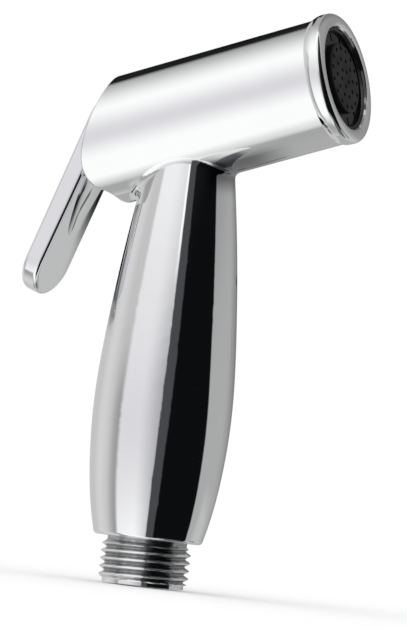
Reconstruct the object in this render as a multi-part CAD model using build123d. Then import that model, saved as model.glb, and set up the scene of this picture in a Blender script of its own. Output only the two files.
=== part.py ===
# Bidet hand shower: a hollow chromed casting whose belly-shaped grip meets a
# tilted barrel head.  A trigger lever is pinned in the open back of the head.
# It pushes a pressure-balanced plunger forward along the head, which lets water
# from the grip's inner tube through to the black spray face.
#
# Frame: origin at the centre of the hose thread's end face, +Z up the grip,
# +X towards the spray face.  The casting is the same on both sides of Y = 0.
# Stations run along the head's axis from the point where it crosses the grip's
# axis, positive towards the spray face.  Rises are square to it, upwards.

import math
import os
from build123d import *

# Head barrel
HEAD_TILT = 18.6                  # rise of the head's axis above the horizontal, degrees
HEAD_HEIGHT = 109.5               # where the head's axis crosses the grip's axis
HEAD_RADIUS = 14.7
HEAD_WALL = 3.1
HEAD_FILLET = 1.6                 # where grip and head meet
BULKHEAD_FRONT = -7.8             # wall that carries the valve
BULKHEAD_BACK = -10.0

# Spray end of the head
LIP_STATION = 38.2                # inner edge of the lip
LIP_RADIUS = 12.27
LIP_TILT = 3.4                    # the spray end leans this far downwards, degrees
BARREL_FRONT = 36.7               # the barrel ends inside the bead
BEAD_START = -4.1                 # rounded bead round the lip, from the lip
BEAD_CREST = -2.1
BEAD_PROUD = 0.6                  # out of the barrel
BEAD_SINK = 0.4                   # the bead's back starts this deep in the barrel
BEAD_NOSE = 0.4                   # past the lip
BEAD_ROUND = 1.55                 # front corner
BEAD_HOLLOW = 0.9                 # width of the curve from the nose in to the lip

# Open back of the head, in side view: X of each place on the rim and its height above HEAD_HEIGHT
BACK_RIM = (
    (-20.0, 9.5), (-19.8, 3.1), (-20.6, -1.3), (-21.6, -6.9), (-22.2, -11.3),
    (-21.7, -15.7), (-19.7, -18.4), (-17.2, -19.4), (-15.9, -21.7),
)
BACK_WALL = 2.0
BACK_EDGE = 0.4                   # rounding of the rim

# Grip: radius and height of each place, those of its neck from HEAD_HEIGHT
GRIP_BOTTOM = (12.6, 10.8)
GRIP_BELLY = ((14.2, 17.8), (15.64, 28.8), (16.17, 40.5), (14.94, 61.8))
GRIP_NECK = ((12.43, -25.7), (10.3, -11.5), (9.5, -6.5))
GRIP_START_LEAN = 15.0            # of the wall at the bottom, degrees
GRIP_TOP_LEAN = -9.0              # of the wall at the head, degrees
GRIP_EDGE = 1.0
GRIP_WALL = 2.2
CAVITY_BOTTOM = 26.0
CAVITY_TOP = HEAD_HEIGHT - 20.5
PASSAGE_RADIUS = 5.6              # for the water tube, from the cavity to the head

# Hose inlet: half-inch parallel pipe thread, plain here at its major radius
THREAD_MAJOR_RADIUS = 10.478
THREAD_LENGTH = 9.9
THREAD_END = 0.6                  # sloping run-out above the last turn
NECK_RADIUS = 9.3
SHANK_RADIUS = 9.2                # screwed up into the grip
SHANK_TOP = 25.0
SHANK_SEAL_HEIGHT = 21.5
SHANK_SEAL_WIRE = 1.3
INLET_RADIUS = 6.0
INLET_TOP = 12.5
FILTER_RADIUS = 7.4
FILTER_BOTTOM = 3.0
FILTER_THICKNESS = 1.4
FILTER_HOLE_RADIUS = 0.8
FILTER_RINGS = (0.0, 2.6, 4.9)
FILTER_COUNTS = (1, 6, 8)

# Water tube inside the grip, bent to reach the valve ahead of the grip's axis
TUBE_RADIUS = 4.0
TUBE_WALL = 1.2
TUBE_BOTTOM = 14.6
TUBE_BEND_LOW = 32.0
TUBE_BEND_HIGH = HEAD_HEIGHT - 25.5
TUBE_TOP = HEAD_HEIGHT - 6.3
TUBE_SHIFT = 2.6
TUBE_SEAL_WIRE = 1.1
TUBE_SEAL_LOW = 19.5
TUBE_SEAL_HIGH = HEAD_HEIGHT - 7.6
GROOVE_SLACK = 0.3                # a ring's groove is this much longer than the ring
WIRE_SIDES = 8                    # rubber rings and spring wire are near enough round

# Valve sleeve
SLEEVE_RADIUS = 10.8
SLEEVE_FRONT = 9.0                # end of the thick part
SLEEVE_HUB_RADIUS = 6.9           # hub that passes through the bulkhead
SLEEVE_HUB_BACK = -11.6
BORE_RADIUS = 4.5
BORE_FRONT = 5.7                  # the narrow bore ends here
BORE_FLARE = 0.9
OUTLET_RADIUS = 7.0
OUTLET_WALL = 1.6
OUTLET_END = 27.3
OUTLET_SEAL_STATION = 24.8
OUTLET_SEAL_WIRE = 1.2
PORT_RADIUS = 2.0
LOCK_RING_RADIUS = 8.8
GUIDE_RADIUS = 5.2
GUIDE_FRONT = -8.3
GUIDE_SEAT = -9.6                 # the spring stands here
GUIDE_SEAT_RADIUS = 4.0
GUIDE_BACK = -12.4
GUIDE_FLANGE_RADIUS = 6.4

# Plunger, at rest
PLUNGER_BACK = -7.9
REAR_SEAL_STATION = -6.5
FRONT_SEAL_STATION = 4.9
LAND_MARGIN = 0.7                 # land on each side of a ring
WAIST_RADIUS = 2.4
GROOVE_RADIUS = 3.05
FLOW_RADIUS = 3.9                 # lands of the front ring, thinner for the flow
SEAL_WIRE = 1.4
STEM_RADIUS = 1.75
STEM_BACK = -17.0
CAP_RADIUS = 4.2
CAP_BACK = -17.6
CAP_FRONT = -16.2
CAP_EDGE = 0.3

# Return spring
SPRING_RADIUS = 3.1
SPRING_WIRE = 0.7
SPRING_COILS = 4

# Trigger lever
LEVER_WIDTH = 15.4
LEVER_THICKNESS = 4.9             # at the top
LEVER_TIP_THICKNESS = 4.5
LEVER_LEAN = 19.9                 # away from the grip's axis, degrees
LEVER_FACE = (-24.8, -17.1)       # one point of the inner face: X and height above HEAD_HEIGHT
LEVER_DROP = 29.0                 # from that point down to the tip
LEVER_RISE = 22.4                 # and up to the top
LEVER_EDGE = 1.0
SCOOP_RADIUS = 14.0               # hollow in the inner face, deepest at its top
SCOOP_DROP = 13.5                 # it runs out this far below that point
SCOOP_RISE = 6.0                  # and ends this far above it, inside the head
SCOOP_LEAN = 5.0                  # degrees
LEVER_TRAVEL = 11.5               # degrees
PIVOT = (-15.6, 7.6)              # station and rise
PIVOT_RADIUS = 1.25
CROWN_DROP = 4.5                  # the lever's back begins to curve in this far below the pivot
HUB_RADIUS = 2.8
HUB_WIDTH = 9.0
HEEL_RADIUS = 1.6
HEEL_RISE = -0.6
HEEL_WIDTH = 5.0
HEEL_WEB = 4.0                    # length of the web that carries the heel
BOSS_RADIUS = 3.3
BOSS_END = 4.8                    # the bosses reach in to this distance from the middle
PIN_NEAR = 9.4                    # blind end
PIN_FAR = 12.2                    # end that shows

# Spray face
CUP_RADIUS = 12.0
CUP_RIM_DROP = 0.9                # rim, below the lip
CUP_FLOOR_DROP = 1.6              # slotted floor, below the lip
CUP_FLOOR_RADIUS = 11.3
CUP_DEPTH = 7.6                   # back face, below the lip
CUP_NECK_RADIUS = 8.8
CUP_NECK_BACK = 22.6
CUP_CHAMBER_RADIUS = 7.4
CUP_THROAT_RADIUS = 6.3
CUP_LEDGE = 29.5
CUP_SEAL_DEPTH = 4.6
CUP_SEAL_WIRE = 1.2
SLOT_COUNT = 12
SLOT_RADIUS = 10.1
SLOT_LENGTH = 2.2
SLOT_WIDTH = 0.8
SLOT_DEPTH = 1.2
SLOT_PHASE = 11.0
DISC_RADIUS = 8.2
DISC_DROP = 0.1                   # face of the disc, below the lip
DISC_SEAT = 2.6                   # where the disc rests, below the lip
DISC_EDGE = 0.4
HOLE_RADIUS = 0.5
HOLE_RINGS = (2.0, 4.5, 7.0)
HOLE_COUNTS = (5, 10, 15)
HOLE_PHASES = (30.0, 14.0, 3.0)
PLATE_THICKNESS = 1.2
PLATE_HOLE_RADIUS = 1.1
PLATE_RINGS = (0.0, 4.6)
PLATE_COUNTS = (1, 8)

# Clearances
RUNNING = 0.08                    # between a moving piece and its bore
CLEAR = 0.3                       # between pieces that only pass each other
FIT = 0.05                        # between pieces that are screwed or pushed together


def tilted_plane(station, angle):
    """Plane square to a line that rises by angle, at a station of the head's axis."""
    lift = math.radians(HEAD_TILT)
    turn = math.radians(angle)
    return Plane(
        origin=(station * math.cos(lift), 0, HEAD_HEIGHT + station * math.sin(lift)),
        x_dir=(-math.sin(turn), 0, math.cos(turn)),
        z_dir=(math.cos(turn), 0, math.sin(turn)),
    )


HEAD = tilted_plane(0, HEAD_TILT)
FACE = tilted_plane(LIP_STATION, HEAD_TILT - LIP_TILT)


def head_point(station, rise):
    """X and Z, in the side view, of a point of the head."""
    turn = math.radians(HEAD_TILT)
    x = station * math.cos(turn) - rise * math.sin(turn)
    z = HEAD_HEIGHT + station * math.sin(turn) + rise * math.cos(turn)
    return x, z


def lathe(*edges):
    """Solid of revolution about Z from a closed outline in radius and height."""
    return revolve(Plane.XZ * make_face(edges), Axis.Z)


def turned(*corners):
    """Solid of revolution about Z from straight-sided corners."""
    return lathe(*Polyline(*corners, close=True).edges())


def rod(radius, low, high):
    """Cylinder about Z between two heights."""
    return Pos(0, 0, (low + high) / 2) * Cylinder(radius, high - low)


def pipe(outer, inner, low, high):
    """Plain ring about Z between two heights."""
    return rod(outer, low, high) - rod(inner, low - 1, high + 1)


def ring_seal(outer, wire, height):
    """Rubber ring about Z."""
    section = Pos(outer - wire / 2, height) * RegularPolygon(wire / 2, WIRE_SIDES)
    return revolve(Plane.XZ * section, Axis.Z)


def seal_groove(outer, wire, height):
    """Room for a rubber ring, cut into a rod that fits inside the ring's outside."""
    half = (wire + GROOVE_SLACK) / 2
    return pipe(outer + 1, outer - wire, height - half, height + half)


def ring_of_rods(radius, rings, counts, low, high, phases=(0, 0, 0)):
    """Rods in rings about Z; phases are in degrees."""
    rods = []
    for distance, count, phase in zip(rings, counts, phases):
        for k in range(count):
            turn = math.radians(phase + 360 * k / count)
            rods.append(Pos(distance * math.cos(turn), distance * math.sin(turn)) * rod(radius, low, high))
    return Compound(children=rods)


def off_axis(point):
    """Distance of a point from the head's axis."""
    gap = point - HEAD.origin
    return (gap - HEAD.z_dir * gap.dot(HEAD.z_dir)).length


def across(station, rise, radius, start, end):
    """Cylinder along Y through a point of the head."""
    x, z = head_point(station, rise)
    return Pos(x, (start + end) / 2, z) * Rot(90, 0, 0) * Cylinder(radius, end - start)


def from_head(place):
    """X or radius, and height, of a place that is given from HEAD_HEIGHT."""
    return place[0], HEAD_HEIGHT + place[1]


def grip_outline(inset):
    """Curve of the grip's wall, moved inwards."""
    wall = (GRIP_BOTTOM,) + GRIP_BELLY + tuple(from_head(place) for place in GRIP_NECK)
    places = [(radius - inset, height) for radius, height in wall]
    start = math.radians(GRIP_START_LEAN)
    end = math.radians(GRIP_TOP_LEAN)
    tangents = ((math.sin(start), math.cos(start)), (math.sin(end), math.cos(end)))
    return Spline(*places, tangents=tangents)


# Body shell: the outside of the casting, before it is hollowed
grip_curve = grip_outline(0)
grip_top = grip_curve @ 1
grip_solid = lathe(
    grip_curve,
    Line((grip_top.X, grip_top.Y), (grip_top.X, HEAD_HEIGHT)),
    Line((grip_top.X, HEAD_HEIGHT), (0, HEAD_HEIGHT)),
    Line((0, HEAD_HEIGHT), (0, GRIP_BOTTOM[1])),
    Line((0, GRIP_BOTTOM[1]), GRIP_BOTTOM),
)
grip_solid = fillet(grip_solid.edges().sort_by(Axis.Z)[0], GRIP_EDGE)

BARREL_BACK = -30.0
bead_radius = HEAD_RADIUS + BEAD_PROUD
bead_run = BEAD_CREST - BEAD_START
bead_arc = (bead_run ** 2 + BEAD_PROUD ** 2) / (2 * BEAD_PROUD)
bead_turn = math.acos(1 - (BEAD_PROUD + BEAD_SINK) / bead_arc)


def bead_back(turn):
    """Radius and height of a point on the bead's back, turned away from its crest."""
    return bead_radius - bead_arc * (1 - math.cos(turn)), BEAD_CREST - bead_arc * math.sin(turn)


nose_start = BEAD_NOSE - BEAD_ROUND
nose_end = bead_radius - BEAD_ROUND
nose_mid = (nose_end + BEAD_ROUND * math.sqrt(0.5), nose_start + BEAD_ROUND * math.sqrt(0.5))
bead = lathe(
    Line((0, bead_back(bead_turn)[1]), bead_back(bead_turn)),
    ThreePointArc(bead_back(bead_turn), bead_back(bead_turn / 2), (bead_radius, BEAD_CREST)),
    Line((bead_radius, BEAD_CREST), (bead_radius, nose_start)),
    ThreePointArc((bead_radius, nose_start), nose_mid, (nose_end, BEAD_NOSE)),
    Line((nose_end, BEAD_NOSE), (0, BEAD_NOSE)),
    Line((0, BEAD_NOSE), (0, bead_back(bead_turn)[1])),
)
body = HEAD * rod(HEAD_RADIUS, BARREL_BACK, BARREL_FRONT) + FACE * bead + grip_solid
junction = [
    edge for edge in body.edges()
    if edge.geom_type not in (GeomType.LINE, GeomType.CIRCLE)
    and abs(edge.center().X) < HEAD_RADIUS
    and HEAD_HEIGHT - 2 * HEAD_RADIUS < edge.center().Z < HEAD_HEIGHT
]
body = fillet(junction, HEAD_FILLET)

# Pivot bosses stand on the inside of the head's open back
back_cup = HEAD * rod(HEAD_RADIUS - BACK_WALL, BARREL_BACK - 1, BULKHEAD_BACK)
body -= back_cup
bosses = across(*PIVOT, BOSS_RADIUS, -HEAD_RADIUS, -BOSS_END) + across(*PIVOT, BOSS_RADIUS, BOSS_END, HEAD_RADIUS)
body += bosses & (HEAD * rod(HEAD_RADIUS - BACK_WALL / 2, BARREL_BACK, BULKHEAD_BACK))
rim = [from_head(place) for place in BACK_RIM]
rim_low = (rim[-1][0], rim[-1][1] - HEAD_RADIUS)
far_low = (-3 * HEAD_RADIUS, rim_low[1])
far_high = (far_low[0], rim[0][1])
behind = make_face([
    Spline(*rim),
    Line(rim[-1], rim_low),
    Line(rim_low, far_low),
    Line(far_low, far_high),
    Line(far_high, rim[0]),
])
body -= extrude(Plane.XZ * behind, amount=2 * HEAD_RADIUS, both=True)
rim_edges = [
    edge for edge in body.edges()
    if edge.center().X < -HEAD_RADIUS
    and all(abs(off_axis(edge @ t) - HEAD_RADIUS) < 0.01 for t in (0, 0.5, 1))
]
body = fillet(rim_edges, BACK_EDGE)

# Body shell: hollows
body -= HEAD * rod(HEAD_RADIUS - HEAD_WALL, BULKHEAD_FRONT, LIP_STATION - CUP_DEPTH + 1)
body -= HEAD * rod(SLEEVE_HUB_RADIUS + FIT, BULKHEAD_BACK - 1, BULKHEAD_FRONT + 1)
lip_hollow = LIP_RADIUS + BEAD_HOLLOW
body -= FACE * lathe(
    Line((0, -CUP_DEPTH - CLEAR), (CUP_RADIUS + FIT, -CUP_DEPTH - CLEAR)),
    Line((CUP_RADIUS + FIT, -CUP_DEPTH - CLEAR), (CUP_RADIUS + FIT, -CUP_RIM_DROP / 2)),
    Line((CUP_RADIUS + FIT, -CUP_RIM_DROP / 2), (LIP_RADIUS, 0)),
    ThreePointArc((LIP_RADIUS, 0), (LIP_RADIUS + BEAD_HOLLOW * 0.42, BEAD_NOSE * 0.72), (lip_hollow, BEAD_NOSE)),
    Line((lip_hollow, BEAD_NOSE), (lip_hollow, BEAD_NOSE + 2)),
    Line((lip_hollow, BEAD_NOSE + 2), (0, BEAD_NOSE + 2)),
    Line((0, BEAD_NOSE + 2), (0, -CUP_DEPTH - CLEAR)),
)
wall_curve = grip_outline(GRIP_WALL)
wall_top = (wall_curve @ 1).Y
cavity = lathe(
    wall_curve,
    Line(wall_curve @ 1, (0, wall_top)),
    Line((0, wall_top), (0, GRIP_BOTTOM[1])),
    Line((0, GRIP_BOTTOM[1]), wall_curve @ 0),
)
body -= cavity & rod(2 * HEAD_RADIUS, CAVITY_BOTTOM, CAVITY_TOP)
body -= rod(SHANK_RADIUS + FIT, GRIP_BOTTOM[1] - 1, CAVITY_BOTTOM + 1)
body -= Pos(TUBE_SHIFT, 0) * rod(PASSAGE_RADIUS, CAVITY_TOP - 1, HEAD_HEIGHT - 2)
body -= across(*PIVOT, PIVOT_RADIUS + FIT, -PIN_NEAR - CLEAR, HEAD_RADIUS)
body_shell = body

# Inlet nipple
tube_socket = TUBE_RADIUS + FIT
inlet_nipple = turned(
    (THREAD_MAJOR_RADIUS, 0), (THREAD_MAJOR_RADIUS, THREAD_LENGTH - THREAD_END),
    (NECK_RADIUS, THREAD_LENGTH), (NECK_RADIUS, GRIP_BOTTOM[1]), (SHANK_RADIUS, GRIP_BOTTOM[1]),
    (SHANK_RADIUS, SHANK_TOP), (tube_socket, SHANK_TOP), (tube_socket, TUBE_BOTTOM - FIT),
    (TUBE_RADIUS - TUBE_WALL, TUBE_BOTTOM - FIT), (TUBE_RADIUS - TUBE_WALL, INLET_TOP),
    (INLET_RADIUS, INLET_TOP), (INLET_RADIUS, FILTER_BOTTOM + FILTER_THICKNESS),
    (FILTER_RADIUS + FIT, FILTER_BOTTOM + FILTER_THICKNESS), (FILTER_RADIUS + FIT, 0),
)
inlet_nipple -= seal_groove(SHANK_RADIUS + FIT, SHANK_SEAL_WIRE, SHANK_SEAL_HEIGHT)
low_groove = TUBE_SEAL_WIRE / 2 + GROOVE_SLACK / 2
inlet_nipple -= rod(TUBE_RADIUS + TUBE_SEAL_WIRE, TUBE_SEAL_LOW - low_groove, TUBE_SEAL_LOW + low_groove)
nipple_seal = ring_seal(SHANK_RADIUS + FIT, SHANK_SEAL_WIRE, SHANK_SEAL_HEIGHT)

filter_top = FILTER_BOTTOM + FILTER_THICKNESS
inlet_filter = rod(FILTER_RADIUS, FILTER_BOTTOM, filter_top)
inlet_filter -= ring_of_rods(FILTER_HOLE_RADIUS, FILTER_RINGS, FILTER_COUNTS, FILTER_BOTTOM - 1, filter_top + 1)

# Water tube
bend_middle = (TUBE_SHIFT / 2, (TUBE_BEND_LOW + TUBE_BEND_HIGH) / 2)
low_arc = TangentArc((0, TUBE_BEND_LOW), bend_middle, tangent=(0, 1))
high_arc = TangentArc((TUBE_SHIFT, TUBE_BEND_HIGH), bend_middle, tangent=(0, -1))
tube_line = Plane.XZ * Wire([
    Line((0, TUBE_BOTTOM), (0, TUBE_BEND_LOW)), low_arc, high_arc,
    Line((TUBE_SHIFT, TUBE_BEND_HIGH), (TUBE_SHIFT, TUBE_TOP)),
])
tube_end = Pos(0, 0, TUBE_BOTTOM) * (Circle(TUBE_RADIUS) - Circle(TUBE_RADIUS - TUBE_WALL))
water_tube = sweep(tube_end, path=tube_line)
tube_seal_lower = ring_seal(TUBE_RADIUS + TUBE_SEAL_WIRE, TUBE_SEAL_WIRE, TUBE_SEAL_LOW)
tube_seal_upper = Pos(TUBE_SHIFT, 0) * ring_seal(TUBE_RADIUS + TUBE_SEAL_WIRE, TUBE_SEAL_WIRE, TUBE_SEAL_HIGH)

# Valve sleeve
guide_bore = GUIDE_RADIUS + FIT
outlet_bore = OUTLET_RADIUS - OUTLET_WALL
valve_sleeve = HEAD * turned(
    (SLEEVE_HUB_RADIUS, SLEEVE_HUB_BACK), (SLEEVE_HUB_RADIUS, BULKHEAD_FRONT), (SLEEVE_RADIUS, BULKHEAD_FRONT),
    (SLEEVE_RADIUS, SLEEVE_FRONT), (OUTLET_RADIUS, SLEEVE_FRONT), (OUTLET_RADIUS, OUTLET_END),
    (outlet_bore, OUTLET_END), (outlet_bore, BORE_FRONT + BORE_FLARE), (BORE_RADIUS, BORE_FRONT),
    (BORE_RADIUS, GUIDE_FRONT), (guide_bore, GUIDE_FRONT), (guide_bore, SLEEVE_HUB_BACK),
)
valve_sleeve -= HEAD * seal_groove(OUTLET_RADIUS + FIT, OUTLET_SEAL_WIRE, OUTLET_SEAL_STATION)
valve_sleeve -= Pos(TUBE_SHIFT, 0) * rod(tube_socket, CAVITY_TOP, TUBE_TOP + FIT)
valve_sleeve -= Pos(TUBE_SHIFT, 0) * rod(
    TUBE_RADIUS + TUBE_SEAL_WIRE, TUBE_SEAL_HIGH - low_groove, TUBE_SEAL_HIGH + low_groove
)
valve_sleeve -= Pos(TUBE_SHIFT, 0) * rod(PORT_RADIUS, TUBE_TOP - 1, HEAD_HEIGHT - 1)
outlet_seal = HEAD * ring_seal(OUTLET_RADIUS + FIT, OUTLET_SEAL_WIRE, OUTLET_SEAL_STATION)
lock_ring = HEAD * pipe(LOCK_RING_RADIUS, SLEEVE_HUB_RADIUS + FIT, SLEEVE_HUB_BACK, BULKHEAD_BACK)

stem_guide = HEAD * turned(
    (STEM_RADIUS + RUNNING, GUIDE_FRONT), (GUIDE_RADIUS, GUIDE_FRONT), (GUIDE_RADIUS, SLEEVE_HUB_BACK),
    (GUIDE_FLANGE_RADIUS, SLEEVE_HUB_BACK), (GUIDE_FLANGE_RADIUS, GUIDE_BACK), (GUIDE_SEAT_RADIUS, GUIDE_BACK),
    (GUIDE_SEAT_RADIUS, GUIDE_SEAT), (STEM_RADIUS + RUNNING, GUIDE_SEAT),
)

# Plunger with its two rings, and the cap that the lever pushes
land_radius = BORE_RADIUS - RUNNING
land_half = SEAL_WIRE / 2 + LAND_MARGIN
groove_half = (SEAL_WIRE + GROOVE_SLACK) / 2
ring_outer = BORE_RADIUS - RUNNING / 2
plunger = HEAD * turned(
    (0, STEM_BACK), (STEM_RADIUS, STEM_BACK), (STEM_RADIUS, PLUNGER_BACK),
    (land_radius, PLUNGER_BACK), (land_radius, REAR_SEAL_STATION - groove_half),
    (GROOVE_RADIUS, REAR_SEAL_STATION - groove_half), (GROOVE_RADIUS, REAR_SEAL_STATION + groove_half),
    (land_radius, REAR_SEAL_STATION + groove_half), (land_radius, REAR_SEAL_STATION + land_half),
    (WAIST_RADIUS, REAR_SEAL_STATION + land_half + 1), (WAIST_RADIUS, FRONT_SEAL_STATION - land_half - 1),
    (FLOW_RADIUS, FRONT_SEAL_STATION - land_half), (FLOW_RADIUS, FRONT_SEAL_STATION - groove_half),
    (GROOVE_RADIUS, FRONT_SEAL_STATION - groove_half), (GROOVE_RADIUS, FRONT_SEAL_STATION + groove_half),
    (FLOW_RADIUS, FRONT_SEAL_STATION + groove_half), (FLOW_RADIUS, FRONT_SEAL_STATION + land_half),
    (0, FRONT_SEAL_STATION + land_half + 0.8),
)
plunger_seal_rear = HEAD * ring_seal(ring_outer, SEAL_WIRE, REAR_SEAL_STATION)
plunger_seal_front = HEAD * ring_seal(ring_outer, SEAL_WIRE, FRONT_SEAL_STATION)
cap_solid = rod(CAP_RADIUS, CAP_BACK, CAP_FRONT)
cap_solid = fillet(cap_solid.edges(), CAP_EDGE)
plunger_cap = HEAD * (cap_solid - rod(STEM_RADIUS + FIT, STEM_BACK - FIT, CAP_FRONT + 1))

# Return spring between the guide's seat and the cap
spring_low = CAP_FRONT + SPRING_WIRE / 2 + FIT
spring_high = GUIDE_SEAT - SPRING_WIRE / 2 - FIT
spring_pitch = (spring_high - spring_low) / SPRING_COILS
coil = Helix(pitch=spring_pitch, height=spring_high - spring_low, radius=SPRING_RADIUS)
wire_end = Plane(origin=coil @ 0, z_dir=coil % 0) * RegularPolygon(SPRING_WIRE / 2, WIRE_SIDES)
return_spring = HEAD * Pos(0, 0, spring_low) * sweep(wire_end, path=coil, is_frenet=True)

# Trigger lever: side view cut to its front view
lean = math.radians(LEVER_LEAN)
down = Vector(-math.sin(lean), -math.cos(lean))
out = Vector(-math.cos(lean), math.sin(lean))
face_point = Vector(*from_head(LEVER_FACE))
pivot = Vector(*head_point(*PIVOT))
back_offset = (face_point - pivot).dot(out) + LEVER_THICKNESS
inner_top = pivot + out * (back_offset - LEVER_THICKNESS)
inner_tip = face_point + down * LEVER_DROP
outer_tip = inner_tip + out * LEVER_TIP_THICKNESS
outer_top = pivot + down * CROWN_DROP + out * back_offset
hub_top = pivot - down * HUB_RADIUS
crown_out = (outer_top - hub_top).dot(out)
crown_drop = (outer_top - hub_top).dot(down)
crown_radius = (crown_out ** 2 + crown_drop ** 2) / (2 * crown_out)
crown_half = math.asin(crown_drop / crown_radius) / 2
crown_mid = outer_top - out * crown_radius * (1 - math.cos(crown_half)) - down * crown_radius * math.sin(crown_half)
side_view = make_face([
    Line(inner_top, inner_tip),
    Line(inner_tip, outer_tip),
    Line(outer_tip, outer_top),
    ThreePointArc(outer_top, crown_mid, hub_top),
    Line(hub_top, inner_top),
])
plate = extrude(Plane.XZ * side_view, amount=LEVER_WIDTH, both=True)
lever_plane = Plane(
    origin=(face_point.X, 0, face_point.Y), x_dir=(down.X, 0, down.Y), z_dir=(out.X, 0, out.Y)
)
lever_long = LEVER_DROP + LEVER_RISE
lever_front = Pos((LEVER_DROP - LEVER_RISE) / 2, 0) * SlotOverall(lever_long, LEVER_WIDTH)
plate &= extrude(lever_plane * lever_front, amount=3 * LEVER_THICKNESS, both=True)
sharp = [edge for edge in plate.edges() if edge.center().Z < pivot.Y - CROWN_DROP]
plate = fillet(sharp, LEVER_EDGE)
scoop_foot = Pos(SCOOP_DROP, 0) * Rot(0, 90 + SCOOP_LEAN, 0) * Pos(SCOOP_RADIUS, 0)
plate -= lever_plane * scoop_foot * rod(SCOOP_RADIUS, -SCOOP_DROP - SCOOP_RISE, SCOOP_DROP)
boss_room = BOSS_RADIUS + 2 * CLEAR
plate -= across(*PIVOT, boss_room, -LEVER_WIDTH, -HUB_WIDTH / 2) + across(*PIVOT, boss_room, HUB_WIDTH / 2, LEVER_WIDTH)
heel_station = CAP_BACK - CLEAR - HEEL_RADIUS
heel_nose = across(heel_station, HEEL_RISE, HEEL_RADIUS, -HEEL_WIDTH / 2, HEEL_WIDTH / 2)
heel_web = HEAD * Pos(HEEL_RISE, 0, heel_station - HEEL_WEB / 2) * Box(2 * HEEL_RADIUS, HEEL_WIDTH, HEEL_WEB)
hub = across(*PIVOT, HUB_RADIUS, -HUB_WIDTH / 2, HUB_WIDTH / 2)
trigger_lever = plate + hub + heel_nose + heel_web
trigger_lever -= across(*PIVOT, PIVOT_RADIUS + RUNNING, -LEVER_WIDTH, LEVER_WIDTH)
pivot_pin = across(*PIVOT, PIVOT_RADIUS, -PIN_NEAR, PIN_FAR)

# Spray cup
cup_plug = CUP_RADIUS + FIT
spray_cup = FACE * turned(
    (0, -CUP_DEPTH), (CUP_RADIUS, -CUP_DEPTH), (CUP_RADIUS, -CUP_RIM_DROP), (CUP_FLOOR_RADIUS, -CUP_RIM_DROP),
    (CUP_FLOOR_RADIUS, -CUP_FLOOR_DROP), (0, -CUP_FLOOR_DROP),
)
spray_cup += HEAD * rod(CUP_NECK_RADIUS, CUP_NECK_BACK, LIP_STATION - CUP_DEPTH + 1)
spray_cup -= HEAD * rod(OUTLET_RADIUS + FIT, CUP_NECK_BACK - 1, OUTLET_END + CLEAR)
spray_cup -= HEAD * rod(CUP_THROAT_RADIUS, OUTLET_END, CUP_LEDGE + 1)
spray_cup -= HEAD * rod(CUP_CHAMBER_RADIUS, CUP_LEDGE, LIP_STATION - DISC_SEAT)
spray_cup -= FACE * rod(DISC_RADIUS + FIT, -DISC_SEAT, 1)
spray_cup -= FACE * seal_groove(cup_plug, CUP_SEAL_WIRE, -CUP_SEAL_DEPTH)
slot = Pos(SLOT_RADIUS, 0, -CUP_FLOOR_DROP - SLOT_DEPTH / 2 + 0.5) * Box(SLOT_LENGTH, SLOT_WIDTH, SLOT_DEPTH + 1)
for k in range(SLOT_COUNT):
    spray_cup -= FACE * Rot(0, 0, SLOT_PHASE + 360 * k / SLOT_COUNT) * slot
cup_seal = FACE * ring_seal(cup_plug, CUP_SEAL_WIRE, -CUP_SEAL_DEPTH)

spray_disc = rod(DISC_RADIUS, -DISC_SEAT, -DISC_DROP)
spray_disc = fillet(spray_disc.edges().sort_by(Axis.Z)[-1], DISC_EDGE)
spray_disc = FACE * (spray_disc - ring_of_rods(HOLE_RADIUS, HOLE_RINGS, HOLE_COUNTS, -DISC_SEAT - 1, 1, HOLE_PHASES))
plate_top = CUP_LEDGE + PLATE_THICKNESS
plate_holes = ring_of_rods(PLATE_HOLE_RADIUS, PLATE_RINGS, PLATE_COUNTS, CUP_LEDGE - 1, plate_top + 1)
distributor_plate = HEAD * (rod(CUP_CHAMBER_RADIUS - FIT, CUP_LEDGE, plate_top) - plate_holes)

NODES = {
    "body_shell": body_shell,
    "inlet_nipple": inlet_nipple,
    "nipple_seal": nipple_seal,
    "inlet_filter": inlet_filter,
    "water_tube": water_tube,
    "tube_seal_lower": tube_seal_lower,
    "tube_seal_upper": tube_seal_upper,
    "valve_sleeve": valve_sleeve,
    "stem_guide": stem_guide,
    "lock_ring": lock_ring,
    "plunger": plunger,
    "plunger_seal_front": plunger_seal_front,
    "plunger_seal_rear": plunger_seal_rear,
    "plunger_cap": plunger_cap,
    "return_spring": return_spring,
    "trigger_lever": trigger_lever,
    "pivot_pin": pivot_pin,
    "outlet_seal": outlet_seal,
    "spray_cup": spray_cup,
    "cup_seal": cup_seal,
    "spray_disc": spray_disc,
    "distributor_plate": distributor_plate,
}

os.makedirs("parts", exist_ok=True)
for name, shape in NODES.items():
    export_step(shape, f"parts/{name}.step")
    box = shape.bounding_box()
    print(f"{name:20s} solids {len(shape.solids())} volume {shape.volume:9.1f} "
          f"x {box.min.X:6.1f} {box.max.X:6.1f} y {box.min.Y:6.1f} {box.max.Y:6.1f} z {box.min.Z:6.1f} {box.max.Z:6.1f}")

# What the mechanism comes to
swing = math.radians(LEVER_TRAVEL)
arm_along = PIVOT[0] - heel_station
arm_across = PIVOT[1] - HEEL_RISE
stroke = arm_across * math.sin(swing) + arm_along * (1 - math.cos(swing))
print(f"pivot at X {pivot.X:.3f} Z {pivot.Y:.3f}; the heel moves {stroke:.3f} along the head in {LEVER_TRAVEL} degrees")
points = [coil @ (k / 400) for k in range(401)]
per_coil = 400 // SPRING_COILS
least = min(
    (points[i] - points[j]).length
    for i in range(401) for j in range(i + per_coil // 2, 401)
) - SPRING_WIRE
print(f"least gap between the spring's turns {least:.3f}")
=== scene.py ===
import math

import bmesh
import bpy
from bpy.props import FloatProperty, FloatVectorProperty, IntProperty, PointerProperty
from bpy.types import Operator, Panel, PropertyGroup
from mathutils import Matrix, Vector


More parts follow.
